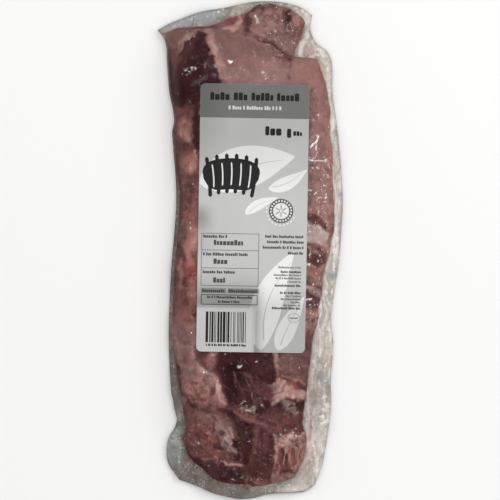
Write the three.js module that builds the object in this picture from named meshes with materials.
// A pack of baby back ribs, sealed in a clear shrunk bag, with a paper label on its top.
//
// Millimetres. X runs across the pack, Y along it and Z up. The pack lies bone side down
// on Z = 0, and the middle of its outline is over the origin. "Head" is the +Y end and
// "foot" the -Y end; "left" is -X and "right" is +X, as seen from above.

import * as THREE from 'three';

// ---------------------------------------------------------------------------
// Driving sizes
// ---------------------------------------------------------------------------

// The edge of the bag, as a few stations on each of its four sides.
const LEFT_EDGE = [
  [-57, -185], [-66.5, -170], [-66, -152], [-59.5, -140], [-63, -122], [-65.5, -73],
  [-64, -22], [-59.5, 40], [-62.5, 89], [-66.5, 145], [-68, 167], [-74.5, 177],
];
const RIGHT_EDGE = [
  [52, -189], [59, -169], [65, -129], [65, -104], [67, -76], [65.5, -52], [72, -4],
  [74.5, 45], [70, 100], [66.5, 125], [66, 149], [62, 160], [54.5, 165], [48.5, 177], [50, 189],
];
const HEAD_EDGE = [
  [-74.5, 177], [-60, 185], [-41, 192], [-22, 195], [-3, 199], [13, 200.5], [29, 199],
  [42, 195], [50, 189],
];
const FOOT_EDGE = [
  [-57, -185], [-42, -190.5], [-28, -196.5], [-9, -200.5], [4, -199.5], [18, -196],
  [42, -195], [52, -189],
];

// How far the bag reaches past the meat: [place along the side, width of bare film].
const LEFT_MARGIN = [
  [-180, 22], [-165, 18], [-150, 11], [-129, 8], [-100, 5], [-40, 4], [8, 3], [56, 4],
  [80, 2.5], [150, 3], [167, 3], [177, 10],
];
const RIGHT_MARGIN = [
  [-185, 14], [-169, 15], [-137, 21], [-84, 17], [-50, 12], [-8, 10], [24, 5], [56, 8],
  [88, 8], [121, 3], [150, 8], [165, 11],
];
const HEAD_MARGIN = [[-61, 7], [-45, 10], [-29, 14], [-22, 8], [-3, 8], [10, 4], [36, 4], [46, 10]];
const FOOT_MARGIN = [[-55, 26], [-45, 20], [-29, 13], [-9, 14], [4, 10], [36, 9], [46, 15]];

const MEAT_HEIGHT = 21;        // top of the rack at the middle of the pack
const MEAT_TAPER = 3.6;        // how much lower the right side is than the middle
const MEAT_CROWN = 2.6;        // how far the top falls to both long sides
const SHOULDER = { left: 13, head: 24, foot: 26 };   // width of the rounded edges
const RIGHT_SHOULDER = [[-185, 17], [-125, 14], [-80, 8], [-45, 10], [0, 15], [60, 19]];
const SHOULDER_FULLNESS = 2.8; // how steeply the rounded edges start: 1 is a plain slope
const BELLY = 9;               // width of the rounded edge on the underside

const RIB_PITCH = 29;          // from one rib to the next
const RIB_SLANT = 0.12;        // how much a rib leans along Y for each millimetre across
const RIB_SHIFT = 13;          // place of the rib nearest the middle
const RIB_SWELL = 1.7;         // height of the swellings over the ribs on the two long sides
const RIB_SWELL_WIDTH = 24;    // how far in from a long side the swellings reach
const RIB_GROOVE = 2.2;        // depth of the underside between two ribs
const ARCH_RISE = 3.2;         // the ribs bow up along the middle, between two strips that rest
const ARCH = { left: [26, 58], right: [18, 50] };   // where the bow starts and is full, from each side

const FILM_THICK = 1.4;        // the bare margin, both plies together
const FILM_LIFT = 3.6;         // height of the margin above the table
const FILM_WAVE = 1.7;         // how far the margin rises and falls
const FILM_WAVE_LENGTH = 46;

const LABEL = {
  width: 87.5, length: 215.5, corner: 4, thick: 0.3, gap: 0.5,
  x: 2.2, y: 25.5, turn: THREE.MathUtils.degToRad(-1),
};
const LABEL_CALM = 9;          // how far round the label the top stays smooth

// Single swellings (+) and hollows (-) of the meat: middle, half sizes, turn, height.
const LUMPS = [
  { x: -42, y: 154, along: 24, across: 11, turn: -12, height: -1.8 },   // sunk lean at the head
  { x: -22, y: 158, along: 20, across: 5, turn: 24, height: 1.3 },      // pale seam beside it
  { x: -9, y: 180, along: 7, across: 8, turn: 0, height: 1.8 },         // knob near the head
  { x: 22, y: 165, along: 5, across: 26, turn: -38, height: -1.6 },     // slanting crease
  { x: 38, y: 172, along: 15, across: 5, turn: -24, height: 2.4 },      // folded film at the shoulder
  { x: -56, y: 103, along: 13, across: 8, turn: 0, height: 1.7 },       // rib ends along the left side
  { x: -45, y: 106, along: 17, across: 5, turn: 0, height: -1.6 },
  { x: -54, y: 70, along: 11, across: 7, turn: 0, height: 1.6 },
  { x: -53, y: 12, along: 10, across: 8, turn: 0, height: -1.7 },
  { x: -54, y: -4, along: 11, across: 7, turn: 0, height: 1.5 },
  { x: 54, y: 23, along: 7, across: 9, turn: 0, height: -1.7 },         // hollow right of the label
  { x: -48, y: -84, along: 28, across: 10, turn: 22, height: 2.2 },     // pale band sweeping down
  { x: -32, y: -116, along: 13, across: 16, turn: -30, height: 2.6 },
  { x: -8, y: -104, along: 17, across: 17, turn: 0, height: -2.2 },     // dark hollow below the label
  { x: -16, y: -133, along: 5, across: 32, turn: -30, height: -2.6 },   // crease across the foot
  { x: 33, y: -114, along: 9, across: 15, turn: -20, height: 2.2 },
  { x: 38, y: -128, along: 6, across: 12, turn: 0, height: -2.0 },
  { x: 34, y: -150, along: 12, across: 13, turn: 0, height: 1.7 },
  { x: -35, y: -154, along: 17, across: 15, turn: 0, height: 2.4 },     // ragged lobe at the foot
  { x: -22, y: -161, along: 8, across: 5, turn: 0, height: -2.4 },
  { x: 8, y: -160, along: 20, across: 8, turn: 8, height: 1.2 },
];

// How finely the two solids are divided.
const BAG_STEPS = { across: 30, along: 76, crowding: [0.35, 0.2] };
const LABEL_STEPS = { across: 12, along: 26, corner: 3 };
const EDGE_SAMPLES = 240;

// ---------------------------------------------------------------------------
// Small helpers
// ---------------------------------------------------------------------------

const { clamp, smoothstep, degToRad } = THREE.MathUtils;

// The value at place p of a line through [place, value] stations in rising order.
function readStations(stations, p) {
  const last = stations.length - 1;
  if (p <= stations[0][0]) return stations[0][1];
  if (p >= stations[last][0]) return stations[last][1];
  const next = stations.findIndex(([place]) => place > p);
  const [fromPlace, fromValue] = stations[next - 1];
  const [toPlace, toValue] = stations[next];
  const share = (p - fromPlace) / (toPlace - fromPlace);
  return fromValue + (toValue - fromValue) * share * share * (3 - 2 * share);
}

// A full, rounded shoulder that climbs from 0 at the edge to 1 at the given width.
function roundShoulder(distance, width) {
  return 1 - (1 - clamp(distance / width, 0, 1)) ** SHOULDER_FULLNESS;
}

// ---------------------------------------------------------------------------
// The edge of the bag
// ---------------------------------------------------------------------------

const smoothEdge = (stations) =>
  new THREE.SplineCurve(stations.map(([x, y]) => new THREE.Vector2(x, y)));

const edges = {
  left: smoothEdge(LEFT_EDGE),
  right: smoothEdge(RIGHT_EDGE),
  head: smoothEdge(HEAD_EDGE),
  foot: smoothEdge(FOOT_EDGE),
};

// A side as a table from one coordinate to the other, to measure distances from it.
const sideTable = (curve, from, to) =>
  curve.getSpacedPoints(EDGE_SAMPLES)
    .map((point) => [point[from], point[to]])
    .sort((a, b) => a[0] - b[0]);

const tables = {
  left: sideTable(edges.left, 'y', 'x'),
  right: sideTable(edges.right, 'y', 'x'),
  head: sideTable(edges.head, 'x', 'y'),
  foot: sideTable(edges.foot, 'x', 'y'),
};

// A point of the sheet spanned by the four edges; u runs across and v along, 0 to 1.
function spanEdges(u, v) {
  const left = edges.left.getPointAt(v);
  const right = edges.right.getPointAt(v);
  const foot = edges.foot.getPointAt(u);
  const head = edges.head.getPointAt(u);
  const [c00, c10, c01, c11] = [
    edges.foot.getPointAt(0), edges.foot.getPointAt(1),
    edges.head.getPointAt(0), edges.head.getPointAt(1),
  ];
  const blend = (axis) =>
    (1 - u) * left[axis] + u * right[axis] + (1 - v) * foot[axis] + v * head[axis]
    - (1 - u) * (1 - v) * c00[axis] - u * (1 - v) * c10[axis]
    - (1 - u) * v * c01[axis] - u * v * c11[axis];
  return [blend('x'), blend('y')];
}

// ---------------------------------------------------------------------------
// The form of the pack
// ---------------------------------------------------------------------------

// How far a place lies inside the meat, from each of its four sides.
function insideMeat(x, y) {
  return {
    left: x - readStations(tables.left, y) - readStations(LEFT_MARGIN, y),
    right: readStations(tables.right, y) - x - readStations(RIGHT_MARGIN, y),
    head: readStations(tables.head, x) - y - readStations(HEAD_MARGIN, x),
    foot: y - readStations(tables.foot, x) - readStations(FOOT_MARGIN, x),
  };
}

// A place in the label's own frame, which is turned a little on the pack.
function onLabel(x, y) {
  const [dx, dy] = [x - LABEL.x, y - LABEL.y];
  const [c, s] = [Math.cos(LABEL.turn), Math.sin(LABEL.turn)];
  return [dx * c + dy * s, dy * c - dx * s];
}

// 0 under the label, 1 well clear of it: the meat is pressed smooth below the paper.
function clearOfLabel(x, y) {
  const [across, along] = onLabel(x, y);
  const outside = Math.max(Math.abs(across) - LABEL.width / 2, Math.abs(along) - LABEL.length / 2);
  return smoothstep(outside, 0, LABEL_CALM);
}

// How far a place is from the nearest rib's middle line: 0 on it, 1 halfway to the next.
function offRib(x, y) {
  const ribs = (y - RIB_SHIFT - RIB_SLANT * x) / RIB_PITCH;
  return 2 * Math.abs(ribs - Math.round(ribs));
}

function lump({ x: cx, y: cy, along, across, turn, height }, x, y) {
  const [c, s] = [Math.cos(degToRad(turn)), Math.sin(degToRad(turn))];
  const a = ((x - cx) * c + (y - cy) * s) / across;
  const b = ((y - cy) * c - (x - cx) * s) / along;
  return height * Math.exp(-(a * a + b * b));
}

function relief(x, y, inside) {
  const nearSide = 1 - smoothstep(Math.min(inside.left, inside.right), 0, RIB_SWELL_WIDTH);
  const swell = RIB_SWELL * nearSide * Math.cos(Math.PI * offRib(x, y));
  const single = LUMPS.reduce((sum, one) => sum + lump(one, x, y), 0);
  return clearOfLabel(x, y) * (swell + single);
}

function marginHeight(x, y) {
  const wave = Math.sin((x + y) * 2 * Math.PI / FILM_WAVE_LENGTH) + 0.5 * Math.sin(x / 5 - y / 9);
  return FILM_LIFT + FILM_WAVE * wave / 1.5;
}

function topHeight(x, y) {
  const inside = insideMeat(x, y);
  const rightShoulder = readStations(RIGHT_SHOULDER, y);
  const body = roundShoulder(inside.left, SHOULDER.left) * roundShoulder(inside.right, rightShoulder)
    * roundShoulder(inside.head, SHOULDER.head) * roundShoulder(inside.foot, SHOULDER.foot);
  const side = x / (LABEL.width * 0.8);
  const crown = MEAT_HEIGHT - MEAT_TAPER * side - MEAT_CROWN * side * side + relief(x, y, inside);
  const rim = marginHeight(x, y) + FILM_THICK;
  return rim + (crown - rim) * body;
}

function bottomHeight(x, y) {
  const inside = insideMeat(x, y);
  const sides = [inside.left, inside.right, inside.head, inside.foot];
  const body = sides.reduce((product, side) => product * roundShoulder(side, BELLY), 1);
  const groove = RIB_GROOVE * smoothstep(offRib(x, y), 0.5, 1);
  const bow = ARCH_RISE * smoothstep(inside.left, ...ARCH.left) * smoothstep(inside.right, ...ARCH.right);
  return marginHeight(x, y) * (1 - body) + (groove + bow) * body;
}

// ---------------------------------------------------------------------------
// Closed sheets: a grid of places, with a top and a bottom height at each
// ---------------------------------------------------------------------------

function closedSheet(rows, top, bottom) {
  const across = rows[0].length;
  const count = rows.length * across;
  const positions = [];
  for (const height of [top, bottom]) {
    for (const row of rows) {
      for (const [x, y] of row) positions.push(x, y, height(x, y));
    }
  }
  const at = (i, j) => j * across + i;
  const faces = [];
  for (let j = 0; j + 1 < rows.length; j += 1) {
    for (let i = 0; i + 1 < across; i += 1) {
      const [a, b, c, d] = [at(i, j), at(i + 1, j), at(i + 1, j + 1), at(i, j + 1)];
      faces.push(a, b, c, a, c, d);
      faces.push(count + a, count + c, count + b, count + a, count + d, count + c);
    }
  }
  const rim = [];
  for (let i = 0; i < across; i += 1) rim.push(at(i, 0));
  for (let j = 1; j < rows.length; j += 1) rim.push(at(across - 1, j));
  for (let i = across - 2; i >= 0; i -= 1) rim.push(at(i, rows.length - 1));
  for (let j = rows.length - 2; j > 0; j -= 1) rim.push(at(0, j));
  rim.forEach((here, k) => {
    const next = rim[(k + 1) % rim.length];
    faces.push(here, count + here, count + next, here, count + next, next);
  });
  const geometry = new THREE.BufferGeometry();
  geometry.setAttribute('position', new THREE.Float32BufferAttribute(positions, 3));
  geometry.setIndex(faces);
  geometry.computeVertexNormals();
  return geometry;
}

// Even steps from 0 to 1, drawn together towards both ends.
function crowdedSteps(count, crowding) {
  return Array.from({ length: count + 1 }, (_, k) => {
    const t = k / count;
    return t - crowding * Math.sin(2 * Math.PI * t) / (2 * Math.PI);
  });
}

function bagGeometry() {
  const across = crowdedSteps(BAG_STEPS.across, BAG_STEPS.crowding[0]);
  const along = crowdedSteps(BAG_STEPS.along, BAG_STEPS.crowding[1]);
  const rows = along.map((v) => across.map((u) => spanEdges(u, v)));
  return closedSheet(rows, topHeight, bottomHeight);
}

// The label's rows: close together round the corners, even between them.
function labelRows() {
  const { width, length, corner, x, y, turn } = LABEL;
  const straight = length / 2 - corner;
  const half = [];
  for (let k = LABEL_STEPS.corner; k > 0; k -= 1) {
    const angle = k * Math.PI / 2 / LABEL_STEPS.corner;
    half.push({ y: straight + corner * Math.sin(angle), reach: width / 2 - corner * (1 - Math.cos(angle)) });
  }
  const middle = Array.from({ length: LABEL_STEPS.along + 1 }, (_, k) => (
    { y: straight * (1 - 2 * k / LABEL_STEPS.along), reach: width / 2 }));
  const foot = half.map((row) => ({ y: -row.y, reach: row.reach })).reverse();
  const [c, s] = [Math.cos(turn), Math.sin(turn)];
  return [...half, ...middle, ...foot].reverse().map((row) => (
    Array.from({ length: LABEL_STEPS.across + 1 }, (_, i) => {
      const across = row.reach * (2 * i / LABEL_STEPS.across - 1);
      return [x + across * c - row.y * s, y + across * s + row.y * c];
    })));
}

function labelGeometry() {
  const under = (x, y) => topHeight(x, y) + LABEL.gap;
  return closedSheet(labelRows(), (x, y) => under(x, y) + LABEL.thick, under);
}

// ---------------------------------------------------------------------------
// The pack
// ---------------------------------------------------------------------------

const bagMaterial = new THREE.MeshStandardMaterial({ color: 0x7d5450, roughness: 0.28, metalness: 0 });
const labelMaterial = new THREE.MeshStandardMaterial({ color: 0xbdbdba, roughness: 0.5, metalness: 0 });

const bag = new THREE.Mesh(bagGeometry(), bagMaterial);
bag.name = 'sealed_bag';

const label = new THREE.Mesh(labelGeometry(), labelMaterial);
label.name = 'label';

const pack = new THREE.Group();
pack.add(bag, label);

export default pack;
